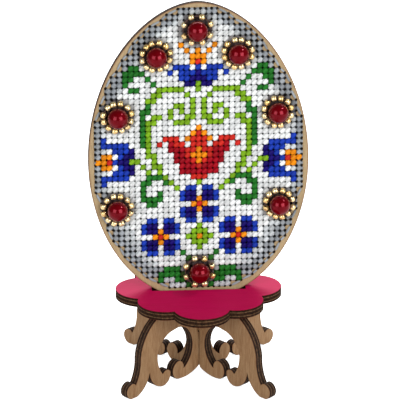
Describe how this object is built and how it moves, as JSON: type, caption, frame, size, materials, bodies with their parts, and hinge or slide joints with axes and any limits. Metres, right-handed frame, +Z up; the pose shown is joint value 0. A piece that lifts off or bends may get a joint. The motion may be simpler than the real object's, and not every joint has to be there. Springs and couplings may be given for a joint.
{
  "type": "cross-stitched wooden easter egg on a stand",
  "caption": "Cross-stitched plywood egg with glass pearls ringed in gold seed beads, standing loose in a scalloped plate on two crossed scroll legs.",
  "frame": {"origin": "on the table, under the middle of the object's box", "axes": "+X to the right as seen from the stitched side, -Y towards the viewer of the stitched side, +Z up"},
  "size_m": [0.0716, 0.0544, 0.1241],
  "materials": {
    "plate_paint": "matte magenta stain on plywood, charred cut edge",
    "leg_plywood": "raw birch plywood, charred cut edge",
    "egg_plywood": "raw birch plywood, charred cut edge and holes",
    "white_floss": "stranded cotton, satin",
    "grey_floss": "stranded cotton, satin",
    "red_floss": "stranded cotton, satin, with crimson and orange",
    "blue_floss": "stranded cotton, satin, with navy, orange and white",
    "green_floss": "stranded cotton, satin, light and dark green",
    "reverse_floss": "stranded cotton, satin, upright bars of every colour",
    "red_pearl": "dark red pearlescent coat, glossy",
    "gold_bead": "gold-lined glass seed beads, glossy"
  },
  "bodies": {
    "stand": {"scalloped_plate": "plate_paint", "leg_panel_a": "leg_plywood", "leg_panel_b": "leg_plywood"},
    "egg": {"egg_board": "egg_plywood", "ground_stitches": "white_floss", "border_upper": "grey_floss", "border_lower_left": "grey_floss", "border_lower_right": "grey_floss", "border_base": "grey_floss", "tulip": "red_floss", "top_spray": "blue_floss", "leaf_diamond": "green_floss", "cornflower_middle": "blue_floss", "cornflower_left": "blue_floss", "side_flower_left": "blue_floss", "upper_leaf_left": "green_floss", "lower_leaf_left": "green_floss", "scroll_left": "green_floss", "cornflower_right": "blue_floss", "side_flower_right": "blue_floss", "upper_leaf_right": "green_floss", "lower_leaf_right": "green_floss", "scroll_right": "green_floss", "reverse_stitches": "reverse_floss", "pearl_top": "red_pearl", "pearl_shoulder_left": "red_pearl", "pearl_shoulder_right": "red_pearl", "pearl_flank_left": "red_pearl", "pearl_flank_right": "red_pearl", "pearl_side_left": "red_pearl", "pearl_side_right": "red_pearl", "pearl_bottom": "red_pearl", "bead_ring_top": "gold_bead", "bead_ring_shoulder_left": "gold_bead", "bead_ring_shoulder_right": "gold_bead", "bead_ring_flank_left": "gold_bead", "bead_ring_flank_right": "gold_bead", "bead_ring_side_left": "gold_bead", "bead_ring_side_right": "gold_bead", "bead_ring_bottom": "gold_bead"}
  },
  "joints": [
    {"name": "egg_lift", "type": "slide", "parent": "stand", "child": "egg", "axis": [-0.0089, 0.1216, 0.9925], "range_m": [0, 0.02]}
  ]
}
